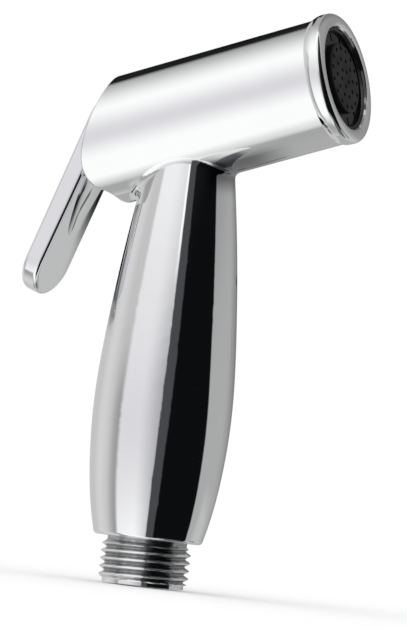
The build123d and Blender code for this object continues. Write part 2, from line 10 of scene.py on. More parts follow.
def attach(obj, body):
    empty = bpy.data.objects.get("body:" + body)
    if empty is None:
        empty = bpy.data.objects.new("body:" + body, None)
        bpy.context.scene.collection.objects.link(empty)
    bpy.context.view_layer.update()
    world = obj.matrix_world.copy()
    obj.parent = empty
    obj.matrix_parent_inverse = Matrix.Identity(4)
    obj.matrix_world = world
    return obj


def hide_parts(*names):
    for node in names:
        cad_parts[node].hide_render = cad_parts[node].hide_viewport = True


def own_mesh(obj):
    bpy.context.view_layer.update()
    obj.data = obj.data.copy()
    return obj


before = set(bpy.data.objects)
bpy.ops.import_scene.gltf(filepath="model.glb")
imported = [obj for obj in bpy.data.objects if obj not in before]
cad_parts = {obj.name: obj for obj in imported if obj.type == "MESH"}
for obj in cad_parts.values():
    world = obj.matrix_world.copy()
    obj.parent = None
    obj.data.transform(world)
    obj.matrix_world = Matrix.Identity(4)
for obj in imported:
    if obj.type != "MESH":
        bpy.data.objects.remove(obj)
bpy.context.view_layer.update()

bl_info = {
    "name": "Bidet hand shower",
    "version": (1, 0, 0),
    "blender": (4, 5, 0),
    "location": "View3D > Sidebar > Shower",
    "description": "Finishes, hose thread, spring, rings and studio of a chromed bidet hand shower",
    "category": "Object",
}

MM = 0.001
TURN = 2 * math.pi

HEAD_TILT = math.radians(18.6)                      # rise of the head's axis above the horizontal
FACE_TILT = math.radians(15.2)                      # the spray face leans a little further down
HEAD_CROSSING = Vector((0.0, 0.0, 109.5)) * MM      # where the head's axis meets the grip's
LIP_STATION = 38.2 * MM                             # the spray lip's place along the head's axis

# The photograph's view, and the three directions that the studio's panels are set out by
CAMERA_TARGET = Vector((0.0074233, 0.0002202, 0.0640678))
CAMERA_DISTANCE = 1.0
CAMERA_LENS = 245.714
CAMERA_SENSOR = 36.0
CAMERA_YAW = math.radians(24.171)
CAMERA_RISE = math.radians(-2.59)
CAMERA_ROLL = math.radians(6.685)
BACK = Vector((
    math.sin(CAMERA_YAW) * math.cos(CAMERA_RISE),
    -math.cos(CAMERA_YAW) * math.cos(CAMERA_RISE),
    math.sin(CAMERA_RISE),
))
LEVEL = Vector((math.cos(CAMERA_YAW), math.sin(CAMERA_YAW), 0.0))
RIGHT = LEVEL * math.cos(CAMERA_ROLL) + BACK.cross(LEVEL) * math.sin(CAMERA_ROLL)
UP = BACK.cross(RIGHT)


# Sizes and colours

class ThreadSizes(PropertyGroup):
    """The half-inch hose thread and the nipple that carries it."""

    pitch: FloatProperty(
        name="Pitch", description="Rise of one turn",
        default=1.814 * MM, unit="LENGTH", precision=6,
    )
    crest: FloatProperty(
        name="Crest radius", description="Thread's major radius",
        default=10.478 * MM, unit="LENGTH", precision=6,
    )
    depth: FloatProperty(
        name="Depth", description="From crest to root",
        default=1.162 * MM, unit="LENGTH", precision=6,
    )
    length: FloatProperty(
        name="Length", description="From the end face to the neck",
        default=9.9 * MM, unit="LENGTH", precision=6,
    )
    lead_radius: FloatProperty(
        name="Lead radius", description="Radius at the end face",
        default=9.53 * MM, unit="LENGTH", precision=6,
    )
    lead_length: FloatProperty(
        name="Lead length", description="Plain length before the first turn",
        default=0.9 * MM, unit="LENGTH", precision=6,
    )
    neck_radius: FloatProperty(
        name="Neck radius", description="Above the thread",
        default=9.3 * MM, unit="LENGTH", precision=6,
    )
    crest_height: FloatProperty(
        name="Crest height", description="Height of the last crest on the camera's left",
        default=8.98 * MM, unit="LENGTH", precision=6,
    )
    segments: IntProperty(name="Segments", description="Sides of one turn", default=120, min=24)


class SpringSizes(PropertyGroup):
    """The return spring behind the valve."""

    radius: FloatProperty(
        name="Radius", description="To the middle of the wire",
        default=3.1 * MM, unit="LENGTH", precision=6,
    )
    wire: FloatProperty(
        name="Wire", description="Diameter of the wire",
        default=0.7 * MM, unit="LENGTH", precision=6,
    )
    low: FloatProperty(
        name="Cap end", description="Station of the first turn",
        default=-15.8 * MM, unit="LENGTH", precision=6,
    )
    high: FloatProperty(
        name="Valve end", description="Station of the last turn",
        default=-10.0 * MM, unit="LENGTH", precision=6,
    )
    coils: IntProperty(name="Coils", description="Number of turns", default=4, min=1)


class Finishes(PropertyGroup):
    """Colours and polish of the object's surfaces."""

    chrome: FloatVectorProperty(
        name="Chrome", description="Plated surfaces",
        default=(0.92, 0.925, 0.935), subtype="COLOR", min=0, max=1,
    )
    brass: FloatVectorProperty(
        name="Brass", description="Bare brass",
        default=(0.80, 0.60, 0.30), subtype="COLOR", min=0, max=1,
    )
    steel: FloatVectorProperty(
        name="Steel", description="Pin and spring",
        default=(0.62, 0.62, 0.63), subtype="COLOR", min=0, max=1,
    )
    black: FloatVectorProperty(
        name="Black plastic", description="Spray cup and disc",
        default=(0.007, 0.007, 0.0078), subtype="COLOR", min=0, max=1,
    )
    grey: FloatVectorProperty(
        name="Grey plastic", description="Valve sleeve",
        default=(0.33, 0.34, 0.36), subtype="COLOR", min=0, max=1,
    )
    white: FloatVectorProperty(
        name="White plastic", description="Tube, guide, cap, filter and the spray's inner plate",
        default=(0.82, 0.82, 0.79), subtype="COLOR", min=0, max=1,
    )
    rubber: FloatVectorProperty(
        name="Rubber", description="Sealing rings",
        default=(0.022, 0.022, 0.023), subtype="COLOR", min=0, max=1,
    )
    polish: FloatProperty(
        name="Chrome roughness", description="Blur of the chrome's reflections",
        default=0.03, min=0, max=1,
    )


class Studio(PropertyGroup):
    """Brightness of the panels that the chrome mirrors, and of the room."""

    card: FloatVectorProperty(
        name="White card", description="Large card on the left",
        default=(1.06, 1.06, 1.05), subtype="COLOR", min=0, max=2,
    )
    card_band: FloatVectorProperty(
        name="Card's band", description="Greyer middle of the white card",
        default=(0.755, 0.75, 0.775), subtype="COLOR", min=0, max=2,
    )
    wall: FloatVectorProperty(
        name="Wall", description="Light wall behind on the left",
        default=(0.585, 0.582, 0.578), subtype="COLOR", min=0, max=2,
    )
    side: FloatVectorProperty(
        name="Grey card", description="Grey card on the right",
        default=(0.43, 0.43, 0.43), subtype="COLOR", min=0, max=2,
    )
    dark: FloatVectorProperty(
        name="Dark room", description="Room behind the camera",
        default=(0.066, 0.069, 0.074), subtype="COLOR", min=0, max=2,
    )
    black: FloatVectorProperty(
        name="Black cloth", description="Right of the camera",
        default=(0.004, 0.0045, 0.005), subtype="COLOR", min=0, max=2,
    )
    room: FloatProperty(
        name="Room light", description="Even light from all sides", default=0.86, min=0,
    )
    lamp: FloatProperty(
        name="Lamp", description="Soft light from above, in watts per square metre",
        default=0.55, min=0,
    )


class HandShowerSettings(PropertyGroup):
    """All settings of the hand shower."""

    thread: PointerProperty(type=ThreadSizes)
    spring: PointerProperty(type=SpringSizes)
    finish: PointerProperty(type=Finishes)
    studio: PointerProperty(type=Studio)


# Working with node trees

class Tree:
    """Short words for adding and linking the nodes of one material or world."""

    def __init__(self, tree):
        self.tree = tree

    def add(self, kind, inputs=(), out=0, **settings):
        """Adds a node; inputs are sockets or plain values, by number or by name."""
        node = self.tree.nodes.new(kind)
        for name, value in settings.items():
            setattr(node, name, value)
        pairs = inputs.items() if isinstance(inputs, dict) else enumerate(inputs)
        for key, value in pairs:
            if isinstance(value, bpy.types.NodeSocket):
                self.tree.links.new(value, node.inputs[key])
            else:
                node.inputs[key].default_value = value
        return node.outputs[out]

    def math(self, operation, *inputs):
        return self.add("ShaderNodeMath", inputs, operation=operation)

    def product(self, first, *others):
        """Multiplies numbers, in the order given."""
        for other in others:
            first = self.math("MULTIPLY", first, other)
        return first

    def vector(self, operation, *inputs, out=0):
        return self.add("ShaderNodeVectorMath", inputs, out=out, operation=operation)

    def axis(self, vector, number):
        """One coordinate of a vector: 0, 1 or 2 for X, Y or Z."""
        return self.add("ShaderNodeSeparateXYZ", (vector,), out=number)

    def ramp(self, value, low, high, to_low=0.0, to_high=1.0, kind="SMOOTHSTEP"):
        """Maps value from one range to another, kept inside it."""
        ends = {"From Min": low, "From Max": high, "To Min": to_low, "To Max": to_high}
        return self.add("ShaderNodeMapRange", {"Value": value, **ends}, interpolation_type=kind)

    def mix(self, share, first, second):
        """Mixes two colours."""
        return self.add(
            "ShaderNodeMix", {0: share, 6: first, 7: second}, out=2, data_type="RGBA"
        )

    def noise(self, where, scale, detail=2.0):
        return self.add("ShaderNodeTexNoise", {"Vector": where, "Scale": scale, "Detail": detail})

    def link(self, socket, target):
        self.tree.links.new(socket, target)


def rgba(colour, scale=1.0):
    """A colour setting as a node's value."""
    return (colour[0] * scale, colour[1] * scale, colour[2] * scale, 1.0)


def new_material(name, metallic=0.0):
    """A material with its tree, its main shader and the place on the object."""
    material = bpy.data.materials.new(name)
    material.use_nodes = True
    tree = Tree(material.node_tree)
    shader = material.node_tree.nodes["Principled BSDF"]
    shader.inputs["Metallic"].default_value = metallic
    where = tree.add("ShaderNodeTexCoord", out=3)
    return material, tree, shader, where


def colour_and_roughness(tree, shader, colour, roughness):
    """Links both to the shader."""
    tree.link(colour, shader.inputs["Base Color"])
    tree.link(roughness, shader.inputs["Roughness"])


def bump(tree, shader, height, strength, distance):
    """Gives the shader a relief, over the one it has."""
    relief = {"Strength": strength, "Distance": distance, "Height": height}
    under = shader.inputs["Normal"].links
    if under:
        relief["Normal"] = under[0].from_socket
    tree.link(tree.add("ShaderNodeBump", relief), shader.inputs["Normal"])


# Finishes

def polished_chrome(name, finish, haze=1.0):
    """Chrome plate: mirror-like, with the faint waves that buffing leaves in the casting."""
    material, tree, shader, where = new_material(name, metallic=1.0)
    cloud = tree.noise(where, scale=70.0, detail=3.0)
    blur = finish.polish * haze
    colour_and_roughness(
        tree, shader,
        tree.mix(tree.ramp(cloud, 0.3, 0.7), rgba(finish.chrome, 0.985), rgba(finish.chrome)),
        tree.ramp(cloud, 0.35, 0.68, blur * 0.7, blur * 1.5),
    )
    waves = tree.noise(where, scale=160.0, detail=1.0)
    bump(tree, shader, waves, strength=0.05, distance=0.0003)
    return material, tree, shader, where


def casting_chrome(name, finish):
    """Chrome on the casting, with painted shade in the corner between the grip's front and the
    head.
    """
    material, tree, shader, where = polished_chrome(name, finish)
    along, across, height = (tree.axis(where, number) for number in range(3))
    from_middle = tree.math("ABSOLUTE", across)
    level_with_head = tree.math("MULTIPLY_ADD", along, -math.tan(HEAD_TILT), height)
    before_grip = tree.ramp(along, 4.0 * MM, 9.0 * MM)
    near_grip = tree.ramp(along, 16.0 * MM, 29.0 * MM, 1.0, 0.0)
    underneath = tree.ramp(from_middle, 5.5 * MM, 8.5 * MM, 1.0, 0.0)
    near_head = tree.ramp(level_with_head, 87.5 * MM, 93.5 * MM)
    # Painted shade: the chrome is darkened to 0.3 of its colour in this corner, and on the head's
    # top over the same stretch, as near_head has no upper limit.
    corner = tree.product(before_grip, near_grip, underneath, near_head)
    plate = shader.inputs["Base Color"].links[0].from_socket
    painted_corner_shade = rgba(finish.chrome, 0.3)
    tree.link(tree.mix(corner, plate, painted_corner_shade), shader.inputs["Base Color"])
    return material


def lever_chrome(name, finish):
    """Chrome on the lever, whose long edges buffing has rounded over, most of all near the head."""
    material, tree, shader, where = polished_chrome(name, finish, haze=1.2)
    across, height = tree.axis(where, 1), tree.axis(where, 2)
    flat_half = 2.7 * MM
    past_flat = tree.math("SUBTRACT", tree.math("ABSOLUTE", across), flat_half)
    over = tree.math("MAXIMUM", past_flat, 0.0)
    steepness = tree.ramp(height, 58.0 * MM, 90.0 * MM, -8.0, -27.0)
    bump(tree, shader, tree.product(over, over, steepness), strength=1.0, distance=1.0)
    return material


def threaded_chrome(name, finish, sizes):
    """Chrome on the cut thread: bright on the crests, darkened by painted shade and rougher in the
    roots and the neck.
    """
    material, tree, shader, where = new_material(name, metallic=1.0)
    radius = tree.vector("LENGTH", tree.vector("MULTIPLY", where, (1.0, 1.0, 0.0)), out=1)
    near_root = sizes.crest - sizes.depth * 0.75
    near_crest = sizes.crest - sizes.depth * 0.08
    in_groove = tree.ramp(radius, near_root, near_crest, 1.0, 0.0)
    out_of_bore = tree.ramp(radius, sizes.neck_radius - 0.1 * MM, sizes.neck_radius - 0.02 * MM)
    past_lead = tree.ramp(tree.axis(where, 2), sizes.lead_length, sizes.lead_length + 0.7 * MM)
    blotches = tree.noise(
        tree.vector("MULTIPLY", where, (900.0, 900.0, 2400.0)), scale=1.0, detail=4.0
    )
    uneven = tree.ramp(blotches, 0.3, 0.65, 0.72, 1.0)
    # Painted shade: the chrome is darkened to 0.4 of its colour in the roots and on the neck past
    # the plain lead, made uneven by the noise. The same mask also makes it rougher.
    painted_root_shade = tree.product(in_groove, out_of_bore, past_lead, uneven)
    colour_and_roughness(
        tree, shader,
        tree.mix(painted_root_shade, rgba(finish.chrome), rgba(finish.chrome, 0.4)),
        tree.ramp(painted_root_shade, 0.0, 1.0, finish.polish * 1.8, finish.polish * 7.0),
    )
    bump(tree, shader, blotches, strength=0.25, distance=0.00004)
    return material


def turned_brass(name, colour):
    """Bare brass with the fine rings that a lathe tool leaves across the head's axis."""
    material, tree, shader, where = new_material(name, metallic=1.0)
    from_axis = tree.vector("SUBTRACT", where, HEAD_CROSSING)
    upright = (0.0, HEAD_TILT - math.pi / 2, 0.0)
    square = tree.add("ShaderNodeMapping", {"Vector": from_axis, "Rotation": upright})
    rings = tree.add(
        "ShaderNodeTexWave",
        {"Vector": square, "Scale": 450.0, "Distortion": 0.6, "Detail": 2.0},
        bands_direction="Z",
    )
    blotches = tree.noise(where, scale=300.0, detail=4.0)
    colour_and_roughness(
        tree, shader,
        tree.mix(tree.ramp(blotches, 0.4, 0.75), rgba(colour), rgba(colour, 0.86)),
        tree.ramp(rings, 0.0, 1.0, 0.208, 0.325),
    )
    bump(tree, shader, rings, strength=0.12, distance=0.00002)
    return material


def drawn_steel(name, colour):
    """Stainless wire and rod with faint drawing marks."""
    material, tree, shader, where = new_material(name, metallic=1.0)
    drawn_out = {"Vector": where, "Scale": (6000.0, 500.0, 6000.0)}
    marks = tree.noise(tree.add("ShaderNodeMapping", drawn_out), scale=1.0, detail=3.0)
    colour_and_roughness(
        tree, shader,
        tree.mix(tree.ramp(marks, 0.35, 0.7), rgba(colour), rgba(colour, 0.88)),
        tree.ramp(marks, 0.3, 0.7, 0.18, 0.32),
    )
    bump(tree, shader, marks, strength=0.1, distance=0.00001)
    return material


def moulded_plastic(name, colour, smooth, rough, grain, soft=0.0, specular=0.5):
    """Moulded plastic: even colour, fine mould texture, slightly uneven gloss."""
    material, tree, shader, where = new_material(name)
    cloud = tree.noise(where, scale=220.0, detail=3.0)
    speck = tree.noise(where, scale=5200.0)
    colour_and_roughness(
        tree, shader,
        tree.mix(tree.ramp(cloud, 0.35, 0.7), rgba(colour), rgba(colour, 0.92)),
        tree.ramp(cloud, 0.3, 0.7, smooth, rough),
    )
    shader.inputs["Specular IOR Level"].default_value = specular
    if soft:
        shader.inputs["Subsurface Weight"].default_value = soft
        shader.inputs["Subsurface Radius"].default_value = (0.9, 0.8, 0.7)
        shader.inputs["Subsurface Scale"].default_value = 0.0006
    bump(tree, shader, speck, grain, distance=0.00003)
    return material


def seal_rubber(name, colour):
    """Matt black rubber with a little bloom."""
    material, tree, shader, where = new_material(name)
    bloom = tree.noise(where, scale=700.0, detail=4.0)
    colour_and_roughness(
        tree, shader,
        tree.mix(tree.ramp(bloom, 0.5, 0.85), rgba(colour), rgba(colour, 1.9)),
        tree.ramp(bloom, 0.3, 0.7, 0.5, 0.68),
    )
    bump(tree, shader, tree.noise(where, scale=6000.0), strength=0.15, distance=0.00002)
    return material


def cover(node, material):
    """Gives a CAD node a material."""
    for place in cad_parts[node].material_slots:
        place.material = material


# Working with meshes

def head_frame(station, tilt=HEAD_TILT):
    """Matrix at a station of the head's axis, its Z along that axis or at another tilt."""
    along = Vector((math.cos(tilt), 0.0, math.sin(tilt)))
    rise = Vector((-math.sin(tilt), 0.0, math.cos(tilt)))
    side = along.cross(rise)
    place = HEAD_CROSSING + Vector((math.cos(HEAD_TILT), 0.0, math.sin(HEAD_TILT))) * station
    return Matrix.Translation(place) @ Matrix((rise, side, along)).transposed().to_4x4()


def chain(bm, corners):
    """Joins points, given as radius and height, into an open outline in the XZ plane."""
    verts = [bm.verts.new((radius, 0.0, height)) for radius, height in corners]
    return verts + [bm.edges.new(pair) for pair in zip(verts, verts[1:])]


def wire_section(bm, place, wire, sides):
    """A round section in the XZ plane, ready to be spun round the Z axis."""
    upright = Matrix.Translation(place) @ Matrix.Rotation(math.pi / 2, 4, "X")
    bmesh.ops.create_circle(bm, radius=wire / 2, segments=sides, matrix=upright)
    return bm.verts[:] + bm.edges[:]


def spin(bm, outline, turns, steps, **settings):
    """Spins an outline round the Z axis."""
    bmesh.ops.spin(
        bm, geom=outline, cent=(0, 0, 0), axis=(0, 0, 1), angle=TURN * turns, steps=steps,
        **settings,
    )


def smooth_object(context, bm, name, material):
    """Turns a bmesh into an object in the scene, shaded smooth."""
    mesh = bpy.data.meshes.new(name)
    bm.to_mesh(mesh)
    bm.free()
    mesh.polygons.foreach_set("use_smooth", [True] * len(mesh.polygons))
    mesh.materials.append(material)
    piece = bpy.data.objects.new(name, mesh)
    context.scene.collection.objects.link(piece)
    return piece


def finish_piece(context, bm, name, body, material, sharp=35.0):
    """Turns a bmesh into a piece of the object, with edges above so many degrees kept sharp."""
    bmesh.ops.recalc_face_normals(bm, faces=bm.faces)
    piece = smooth_object(context, bm, name, material)
    piece.data.set_sharp_from_angle(angle=math.radians(sharp))
    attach(piece, body)
    return piece


# Pieces

class SHOWER_OT_hose_thread(Operator):
    """Cut the half-inch hose thread and turn the nipple that carries it"""

    bl_idname = "shower.hose_thread"
    bl_label = "Hose thread"

    # The rounded thread form from crest to root: share of the pitch and share of the depth
    FORM = (
        (0.0, 0.0), (0.045, 0.02), (0.085, 0.07), (0.12, 0.15), (0.21, 0.38),
        (0.29, 0.62), (0.38, 0.85), (0.415, 0.93), (0.455, 0.98), (0.5, 1.0),
    )
    LEAD_SLOPE = 2.2                # rise of the radius past the plain lead
    RUN_OUT_SLOPE = 1.1             # fall of the radius towards the neck
    GROOVE_RUN_IN = 0.6 * MM        # height in which the groove reaches its depth
    SPARE_TURNS = 3                 # wound past both ends, then trimmed
    WELD_GAP = 0.00001
    SHORTEST_EDGE = 0.000001

    # The rest of the nipple's outline, radius and height in millimetres: up the outside, then
    # down the bore
    SHANK = ((9.3, 10.8), (9.2, 10.8), (9.2, 20.7))
    RING_GROOVE = ((7.95, 20.7), (7.95, 22.3), (9.2, 22.3))
    TOP = ((9.2, 24.6), (8.8, 25.0), (4.4, 25.0), (4.05, 24.65))
    TUBE_RING_GROOVE = ((4.05, 20.2), (5.1, 20.2), (5.1, 18.8), (4.05, 18.8))
    TUBE_STOP = ((4.05, 14.55), (2.8, 14.55), (2.8, 12.5))
    INLET = ((6.0, 12.5), (6.0, 4.4), (7.45, 4.4), (7.45, 0.3), (7.75, 0.0))

    def execute(self, context):
        settings = context.scene.hand_shower
        sizes = settings.thread
        bm = bmesh.new()
        self.cut_thread(bm, sizes)
        self.turn_nipple(bm, sizes)
        bmesh.ops.remove_doubles(bm, verts=bm.verts, dist=self.WELD_GAP)
        bmesh.ops.dissolve_degenerate(bm, edges=bm.edges, dist=self.SHORTEST_EDGE)
        material = threaded_chrome("chrome_brass", settings.finish, sizes)
        piece = finish_piece(
            context, bm, "hose_thread", "casting", material, sharp=40.0
        )
        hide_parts("inlet_nipple")
        return {"FINISHED"}

    def cut_thread(self, bm, sizes):
        """Spins one turn's outline up the nipple, then trims it to the lead and the neck."""
        form = self.FORM + tuple((1.0 - along, down) for along, down in self.FORM[-2::-1])
        turns = math.ceil(sizes.length / sizes.pitch) + self.SPARE_TURNS
        left = -LEVEL
        bearing = math.atan2(left.y, left.x) % TURN
        start = (sizes.crest_height - sizes.pitch * bearing / TURN) % sizes.pitch - 2 * sizes.pitch
        outline = chain(bm, [
            (sizes.crest - sizes.depth * down, start + sizes.pitch * along) for along, down in form
        ])
        rise = (0, 0, sizes.pitch / sizes.segments)
        spin(bm, outline, turns, sizes.segments * turns, dvec=rise)
        for vert in bm.verts:
            self.trim(vert, sizes)

    def trim(self, vert, sizes):
        """Plain lead at the end face, run-out at the neck, and a groove that deepens in between."""
        height = min(max(vert.co.z, 0.0), sizes.length)
        radius = math.hypot(vert.co.x, vert.co.y)
        past_lead = max(height - sizes.lead_length, 0.0)
        groove = (sizes.crest - radius) * min(past_lead / self.GROOVE_RUN_IN, 1.0)
        lead = sizes.lead_radius + past_lead * self.LEAD_SLOPE
        run_out = sizes.neck_radius + (sizes.length - height) * self.RUN_OUT_SLOPE
        trimmed = max(min(sizes.crest - groove, lead, run_out), sizes.neck_radius)
        if height >= sizes.length:
            trimmed = sizes.neck_radius
        if height <= 0.0:
            trimmed = sizes.lead_radius
        vert.co.x *= trimmed / radius
        vert.co.y *= trimmed / radius
        vert.co.z = height

    def turn_nipple(self, bm, sizes):
        """Neck, shank with its ring groove, and the stepped bore, as one turned outline."""
        corners = self.SHANK + self.RING_GROOVE + self.TOP
        corners += self.TUBE_RING_GROOVE + self.TUBE_STOP + self.INLET
        outline = chain(bm, [
            (sizes.neck_radius, sizes.length),
            *((radius * MM, height * MM) for radius, height in corners),
            (sizes.lead_radius, 0.0),
        ])
        spin(bm, outline, 1, sizes.segments, use_merge=True)


class SHOWER_OT_return_spring(Operator):
    """Wind the return spring at one fixed length: it doesn't shorten here as the plunger slides"""

    bl_idname = "shower.return_spring"
    bl_label = "Return spring"

    WIRE_SIDES = 14
    STEPS_PER_COIL = 48
    SEAT_STATION = -9.6 * MM

    def execute(self, context):
        settings = context.scene.hand_shower
        sizes = settings.spring
        steps = self.STEPS_PER_COIL * sizes.coils
        rise = (0, 0, (sizes.high - sizes.low) / steps)
        bm = bmesh.new()
        section = wire_section(bm, (sizes.radius, 0, sizes.low), sizes.wire, self.WIRE_SIDES)
        spin(bm, section, sizes.coils, steps, dvec=rise)
        ends = [edge for edge in bm.edges if edge.is_boundary]
        bmesh.ops.holes_fill(bm, edges=ends, sides=0)
        bmesh.ops.transform(bm, matrix=head_frame(0.0), verts=bm.verts)
        steel = drawn_steel("spring_steel", settings.finish.steel)
        spring = finish_piece(context, bm, "spring_coil", "casting", steel)
        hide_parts("return_spring")
        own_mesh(spring)
        return {"FINISHED"}


class SHOWER_OT_sealing_rings(Operator):
    """Mould the seven round rubber rings"""

    bl_idname = "shower.sealing_rings"
    bl_label = "Sealing rings"

    WIRE_SIDES = 16
    STEPS = 72

    # Node it stands for: body, outer radius and wire in millimetres, and where its middle lies
    RINGS = {
        "nipple_seal": ("casting", 9.25, 1.3, Matrix.Translation((0, 0, 21.5 * MM))),
        "tube_seal_lower": ("casting", 5.1, 1.1, Matrix.Translation((0, 0, 19.5 * MM))),
        "tube_seal_upper": ("casting", 5.1, 1.1, Matrix.Translation((2.6 * MM, 0, 101.9 * MM))),
        "outlet_seal": ("casting", 7.05, 1.2, head_frame(24.8 * MM)),
        "plunger_seal_front": ("spool", 4.46, 1.4, head_frame(4.9 * MM)),
        "plunger_seal_rear": ("spool", 4.46, 1.4, head_frame(-6.5 * MM)),
        "cup_seal": (
            "casting", 12.05, 1.2,
            head_frame(LIP_STATION, FACE_TILT) @ Matrix.Translation((0, 0, -4.6 * MM)),
        ),
    }

    def execute(self, context):
        rubber = seal_rubber("seal_rubber", context.scene.hand_shower.finish.rubber)
        for node, (body, outer, wire, place) in self.RINGS.items():
            bm = bmesh.new()
            middle = ((outer - wire / 2) * MM, 0, 0)
            section = wire_section(bm, middle, wire * MM, self.WIRE_SIDES)
            spin(bm, section, 1, self.STEPS, use_merge=True)
            bmesh.ops.transform(bm, matrix=place, verts=bm.verts)
            ring = finish_piece(context, bm, node + "_ring", body, rubber)
            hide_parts(node)
        return {"FINISHED"}


class SHOWER_OT_casting(Operator):
    """Plate the casting in polished chrome"""

    bl_idname = "shower.casting"
    bl_label = "Casting"

    def execute(self, context):
        finish = context.scene.hand_shower.finish
        cover("body_shell", casting_chrome("chrome_casting", finish))
        return {"FINISHED"}


class SHOWER_OT_lever(Operator):
    """Plate the trigger lever and finish its pin"""

    bl_idname = "shower.lever"
    bl_label = "Lever"

    def execute(self, context):
        finish = context.scene.hand_shower.finish
        cover("trigger_lever", lever_chrome("chrome_lever", finish))
        cover("pivot_pin", drawn_steel("pin_steel", finish.steel))
        return {"FINISHED"}


class SHOWER_OT_spray_face(Operator):
    """Finish the black spray cup and disc, and the plate behind them"""

    bl_idname = "shower.spray_face"
    bl_label = "Spray face"

    def execute(self, context):
        finish = context.scene.hand_shower.finish
        cup = moulded_plastic(
            "black_plastic", finish.black, smooth=0.18, rough=0.3, grain=0.05, specular=0.12
        )
        disc = moulded_plastic(
            "black_face", finish.black, smooth=0.3, rough=0.42, grain=0.12, specular=0.12
        )
        plate = moulded_plastic(
            "plate_plastic", finish.white, smooth=0.35, rough=0.5, grain=0.1, soft=0.3
        )
        cover("spray_cup", cup)
        cover("spray_disc", disc)
        cover("distributor_plate", plate)
        return {"FINISHED"}


class SHOWER_OT_valve(Operator):
    """Finish the valve, its plunger and the water tube"""

    bl_idname = "shower.valve"
    bl_label = "Valve"

    def execute(self, context):
        finish = context.scene.hand_shower.finish
        grey = moulded_plastic("grey_plastic", finish.grey, smooth=0.35, rough=0.5, grain=0.12)
        cover("valve_sleeve", grey)
        white = moulded_plastic(
            "white_plastic", finish.white, smooth=0.32, rough=0.48, grain=0.1, soft=0.3
        )
        for node in ("inlet_filter", "water_tube", "stem_guide", "plunger_cap"):
            cover(node, white)
        brass = turned_brass("turned_brass", finish.brass)
        for node in ("lock_ring", "plunger"):
            cover(node, brass)
        return {"FINISHED"}


# Studio

class Dome:
    """The material of a mirrored sphere, set out in degrees of azimuth and elevation.

    Both are seen from the sphere's middle and counted from the photograph's view.
    """

    def __init__(self, name, middle):
        self.material = bpy.data.materials.new(name)
        self.material.use_nodes = True
        self.material.node_tree.nodes.clear()
        self.material.cycles.emission_sampling = "NONE"
        self.tree = tree = Tree(self.material.node_tree)
        outwards = tree.vector("SUBTRACT", tree.add("ShaderNodeTexCoord", out=3), middle)
        ray = tree.vector("NORMALIZE", outwards)
        across, high, near = (
            tree.vector("DOT_PRODUCT", ray, axis, out=1) for axis in (RIGHT, UP, BACK)
        )
        self.azimuth = tree.math("DEGREES", tree.math("ARCTAN2", across, near))
        self.elevation = tree.math("DEGREES", tree.math("ARCSINE", high))
        self.shade = None

    def rising(self, slope):
        """Elevation, plus so many degrees for each degree of azimuth."""
        return self.tree.math("MULTIPLY_ADD", self.azimuth, slope, self.elevation)

    def area(
        self, left=None, right=None, bottom=None, top=None, left_lean=0.0, right_lean=0.0,
        soft=1.5, soft_height=3.0, azimuth=None, elevation=None,
    ):
        """One panel's share of the sphere: 1 inside its soft edges and 0 outside.

        A side that leans moves by so many degrees of azimuth for each degree of elevation.
        """
        azimuth = self.azimuth if azimuth is None else azimuth
        elevation = self.elevation if elevation is None else elevation
        inwards, outwards = (0.0, 1.0), (1.0, 0.0)
        shares = []
        for side, lean, ends in ((left, left_lean, inwards), (right, right_lean, outwards)):
            if side is not None:
                across = azimuth
                if lean:
                    across = self.tree.math("MULTIPLY_ADD", elevation, -lean, azimuth)
                shares.append(self.tree.ramp(across, side - soft, side + soft, *ends))
        for edge, ends in ((bottom, inwards), (top, outwards)):
            if edge is not None:
                low, high = edge - soft_height, edge + soft_height
                shares.append(self.tree.ramp(elevation, low, high, *ends))
        return self.tree.product(*shares)

    def lay(self, colour, **edges):
        """Lays one panel over what is there."""
        self.shade = self.tree.mix(self.area(**edges), self.shade, colour)

    def glow(self, colour):
        return self.tree.add("ShaderNodeEmission", {"Color": colour})

    def close(self, surface):
        """Links the surface to the material's output, and returns the material."""
        end = self.material.node_tree.nodes.new("ShaderNodeOutputMaterial")
        self.tree.link(surface, end.inputs["Surface"])
        return self.material


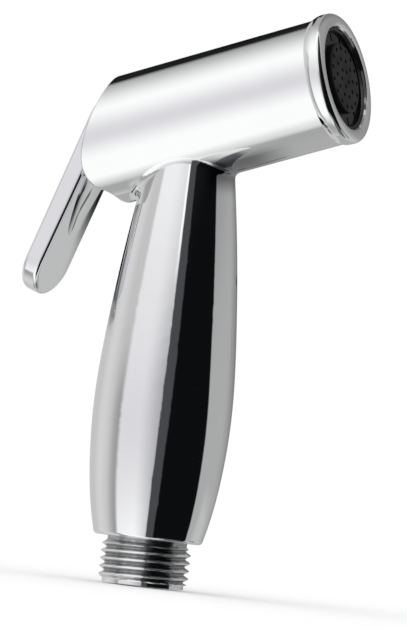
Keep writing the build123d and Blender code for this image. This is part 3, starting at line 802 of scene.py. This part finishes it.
class SHOWER_OT_studio(Operator):
    """Set up the floor, the mirrored panels, the lamp and the camera"""

    bl_idname = "shower.studio"
    bl_label = "Studio"

    FLOOR_RADIUS = 30.0
    FLOOR_GAP = 0.0003              # from the thread's end face down to the floor
    FLOOR_SHADES = ((0.97, 0.97, 0.97, 1.0), (0.98, 0.98, 0.98, 1.0))
    PANELS_RADIUS = 6.0
    FLAG_RADIUS = 0.06
    FLAG_MIDDLE = Vector((-27.0, 0.0, 86.0)) * MM       # the lever's middle
    LAMP_PLACE = Vector((-0.1, -0.25, 1.5))
    LAMP_SPREAD = math.radians(70.0)

    def execute(self, context):
        studio = context.scene.hand_shower.studio
        self.lay_floor(context)
        self.hang_panels(context, studio)
        self.hang_flag(context, studio)
        self.light_room(context, studio)
        self.place_camera(context)
        context.scene.view_settings.view_transform = "Standard"
        return {"FINISHED"}

    def lay_floor(self, context):
        """A plain white floor that the chrome doesn't mirror."""
        material, tree, shader, where = new_material("floor")
        shader.inputs["Roughness"].default_value = 0.9
        shader.inputs["Specular IOR Level"].default_value = 0.0
        white = tree.mix(tree.noise(where, scale=2.0), *self.FLOOR_SHADES)
        tree.link(white, shader.inputs["Base Color"])
        bm = bmesh.new()
        place = Matrix.Translation((0, 0, -self.FLOOR_GAP))
        bmesh.ops.create_circle(
            bm, cap_ends=True, radius=self.FLOOR_RADIUS, segments=64, matrix=place
        )
        floor = smooth_object(context, bm, "floor", material)
        floor.visible_glossy = False

    def mirrored_sphere(self, context, name, middle, radius, material):
        """A sphere round the object that only mirror-like surfaces see."""
        bm = bmesh.new()
        place = Matrix.Translation(middle)
        bmesh.ops.create_uvsphere(bm, u_segments=96, v_segments=48, radius=radius, matrix=place)
        bmesh.ops.reverse_faces(bm, faces=bm.faces)
        sphere = smooth_object(context, bm, name, material)
        sphere.visible_camera = False
        sphere.visible_diffuse = False
        sphere.visible_shadow = False
        sphere.visible_volume_scatter = False

    def hang_flag(self, context, studio):
        """A black flag close to the lever: strips for its hollow, and a wide one that fades."""
        dome = Dome("lever_flag", self.FLAG_MIDDLE)
        tree = dome.tree
        upper = dome.area(left=137.0, right=166.0, bottom=-9.4, top=-6.7, soft_height=0.5)
        lower = dome.area(
            left=113.0, right=129.0, bottom=-1.8, top=0.4, soft_height=0.5,
            elevation=dome.rising(0.13),
        )
        tail = dome.area(
            left=128.3, right=132.0, bottom=-22.0, top=-17.5, soft=0.8, soft_height=0.8
        )
        thinner = tree.product(tree.math("MAXIMUM", lower, tail), 0.8)
        strips = tree.math("MAXIMUM", upper, thinner)
        wide = tree.product(
            tree.ramp(dome.rising(-0.43), -90.0, -74.0, 0.0, 0.95),
            dome.area(left=143.0, right=176.0, bottom=-30.0, top=0.0, soft=7.0),
        )
        cloth = tree.add("ShaderNodeMixShader", (
            tree.math("MAXIMUM", strips, wide),
            tree.add("ShaderNodeBsdfTransparent"),
            dome.glow(rgba(studio.black, 2.0)),
        ))
        self.mirrored_sphere(
            context, "lever_flag", self.FLAG_MIDDLE, self.FLAG_RADIUS, dome.close(cloth)
        )

    def hang_panels(self, context, studio):
        """Panels all round, each over the ones before it."""
        dome = Dome("studio_panels", CAMERA_TARGET)
        tree, azimuth, elevation = dome.tree, dome.azimuth, dome.elevation

        # Wall on the left: brightest at its middle, with a dark gap before the white card
        from_middle = tree.math("ABSOLUTE", tree.math("SUBTRACT", azimuth, -114.0))
        middle = tree.ramp(from_middle, 2.0, 26.0, 1.0, 0.0)
        wall = tree.mix(middle, rgba(studio.wall), rgba(studio.wall, 1.18))
        gap = tree.product(
            tree.ramp(azimuth, -96.0, -76.0), tree.ramp(elevation, 8.0, 20.0, 1.0, 0.0)
        )
        dome.shade = tree.mix(gap, wall, rgba(studio.wall, 0.62))

        # Grey card on the right: dimmer upwards and far behind, brighter low down
        high = tree.ramp(elevation, 0.0, 14.0)
        side = tree.mix(high, rgba(studio.side), rgba(studio.side, 0.78))
        far = tree.product(tree.ramp(azimuth, 118.0, 166.0), tree.ramp(elevation, -16.0, 0.0))
        side = tree.mix(far, side, rgba(studio.side, 0.5))
        low = tree.product(
            tree.ramp(elevation, -19.0, -13.0, 1.0, 0.0),
            tree.ramp(azimuth, 98.0, 116.0),
            tree.ramp(azimuth, 150.0, 162.0, 1.0, 0.0),
        )
        side = tree.mix(low, side, rgba(studio.side, 1.25))
        dome.lay(side, left=72.0, soft=4.0)

        # Ceiling: grey behind, white over the card
        over_card = tree.ramp(azimuth, -150.0, -72.0, kind="LINEAR")
        ceiling = tree.mix(over_card, rgba(studio.card, 0.38), rgba(studio.card))
        dome.lay(ceiling, right=-60.0, bottom=31.0, soft=3.0, soft_height=6.0)

        # White card with a greyer middle, dimmer towards the camera, and its bright upper edge
        from_band = tree.math("ABSOLUTE", tree.math("SUBTRACT", elevation, 6.0))
        card = tree.mix(tree.ramp(from_band, 0.0, 40.0), rgba(studio.card_band), rgba(studio.card))
        dimmed = tree.product(
            tree.ramp(azimuth, -38.0, 0.0), tree.ramp(elevation, 10.0, 24.0, 0.42, 0.14)
        )
        card = tree.mix(dimmed, card, rgba(studio.dark))
        dome.lay(card, left=-72.0, right=-2.8, right_lean=0.19, soft=4.0)
        dome.lay(
            rgba(studio.card), left=-8.0, left_lean=0.19, right=-2.8, right_lean=0.19,
            bottom=20.0, top=60.0, soft=1.0,
        )

        # Floor: light under the card, grey all round
        under_card = tree.product(
            tree.ramp(azimuth, -110.0, -38.0), tree.ramp(azimuth, 20.0, 60.0, 1.0, 0.0)
        )
        floor = tree.mix(under_card, rgba(studio.side, 0.95), rgba(studio.card, 0.8))
        dome.lay(floor, top=-68.0, soft_height=8.0)

        # Dark strip and black cloth beside the camera
        dome.lay(
            rgba(studio.dark), left=-2.8, left_lean=0.19, right=20.0, bottom=-54.0, top=76.0,
            soft=1.2, soft_height=4.0,
        )
        cloth = tree.mix(
            tree.ramp(elevation, 16.0, 26.0), rgba(studio.black), rgba(studio.black, 2.4)
        )
        dome.lay(
            cloth, left=12.8, left_lean=0.2, right=79.5, right_lean=-0.36, bottom=-54.0, top=76.0,
            soft_height=4.0,
        )

        # Black behind the object: a crescent, a thin streak beside it and a cloth low down
        behind = rgba(studio.black, 3.0)
        height_squared = tree.product(elevation, elevation)
        crescent = tree.math("MULTIPLY_ADD", height_squared, -0.0132, azimuth)
        dome.lay(
            behind, left=-185.0, right=-175.0, bottom=8.0, top=45.0, soft_height=4.0,
            azimuth=crescent,
        )
        dome.lay(
            behind, right=-131.0, bottom=37.8, top=40.4, soft=4.0, soft_height=0.8,
            elevation=dome.rising(-0.21),
        )
        dome.lay(
            behind, left=-160.0, right=-104.0, bottom=-62.5, top=-54.5, soft=5.0, soft_height=1.2
        )

        # Grey low down on the right: a broad cloth, and one beyond the lever
        dome.lay(
            rgba(studio.dark, 1.9), left=42.0, right=146.0, bottom=-78.0, top=-50.0,
            soft=8.0, soft_height=4.0,
        )
        dome.lay(
            rgba(studio.dark, 2.2), left=92.0, right=129.0, bottom=-38.5, top=-30.0,
            soft=6.0, soft_height=2.2,
        )
        material = dome.close(dome.glow(dome.shade))
        self.mirrored_sphere(context, "studio_panels", CAMERA_TARGET, self.PANELS_RADIUS, material)

    def light_room(self, context, studio):
        """Even light from all sides, white behind the object, and one large soft lamp above."""
        world = bpy.data.worlds.new("white_room")
        context.scene.world = world
        world.use_nodes = True
        tree = Tree(world.node_tree)
        room = world.node_tree.nodes["Background"]
        room.inputs["Color"].default_value = (1.0, 1.0, 1.0, 1.0)
        path = world.node_tree.nodes.new("ShaderNodeLightPath")
        seen = tree.math("MAXIMUM", path.outputs["Is Camera Ray"], path.outputs["Is Glossy Ray"])
        seen = tree.math("MAXIMUM", seen, path.outputs["Is Transmission Ray"])
        strength = tree.ramp(seen, 0.0, 1.0, studio.room, 1.0, "LINEAR")
        tree.link(strength, room.inputs["Strength"])

        lamp = bpy.data.lights.new("lamp", "SUN")
        lamp.angle = self.LAMP_SPREAD
        lamp.energy = studio.lamp
        holder = bpy.data.objects.new("lamp", lamp)
        holder.location = self.LAMP_PLACE
        holder.rotation_mode = "QUATERNION"
        holder.rotation_quaternion = (self.LAMP_PLACE - CAMERA_TARGET).to_track_quat("Z", "Y")
        holder.visible_glossy = False
        context.scene.collection.objects.link(holder)

    def place_camera(self, context):
        """The photograph's view."""
        view = bpy.data.cameras.new("camera")
        view.sensor_width = CAMERA_SENSOR
        view.lens = CAMERA_LENS
        view.clip_start, view.clip_end = 0.01, 100.0
        camera = bpy.data.objects.new("camera", view)
        place = Matrix.Translation(CAMERA_TARGET + BACK * CAMERA_DISTANCE)
        camera.matrix_world = place @ Matrix((RIGHT, UP, BACK)).transposed().to_4x4()
        context.scene.collection.objects.link(camera)
        context.scene.camera = camera


class SHOWER_PT_sidebar(Panel):
    """Lists the hand shower's pieces and the studio."""

    bl_idname = "SHOWER_PT_sidebar"
    bl_label = "Hand shower"
    bl_space_type = "VIEW_3D"
    bl_region_type = "UI"
    bl_category = "Shower"

    def draw(self, context):
        layout = self.layout
        for step in STEPS:
            layout.operator(step.bl_idname)
        settings = context.scene.hand_shower
        for group in (settings.thread, settings.spring, settings.finish, settings.studio):
            box = layout.box()
            for name in group.__annotations__:
                box.prop(group, name)


STEPS = (
    SHOWER_OT_hose_thread,
    SHOWER_OT_return_spring,
    SHOWER_OT_sealing_rings,
    SHOWER_OT_casting,
    SHOWER_OT_lever,
    SHOWER_OT_spray_face,
    SHOWER_OT_valve,
    SHOWER_OT_studio,
)
GROUPS = (ThreadSizes, SpringSizes, Finishes, Studio, HandShowerSettings)
CLASSES = GROUPS + STEPS + (SHOWER_PT_sidebar,)


def register():
    for kind in CLASSES:
        bpy.utils.register_class(kind)
    bpy.types.Scene.hand_shower = PointerProperty(type=HandShowerSettings)


def unregister():
    del bpy.types.Scene.hand_shower
    for kind in reversed(CLASSES):
        bpy.utils.unregister_class(kind)


def main():
    register()
    bpy.ops.shower.hose_thread()
    bpy.ops.shower.return_spring()
    bpy.ops.shower.sealing_rings()
    bpy.ops.shower.casting()
    bpy.ops.shower.lever()
    bpy.ops.shower.spray_face()
    bpy.ops.shower.valve()
    bpy.ops.shower.studio()


if __name__ == "__main__":
    main()
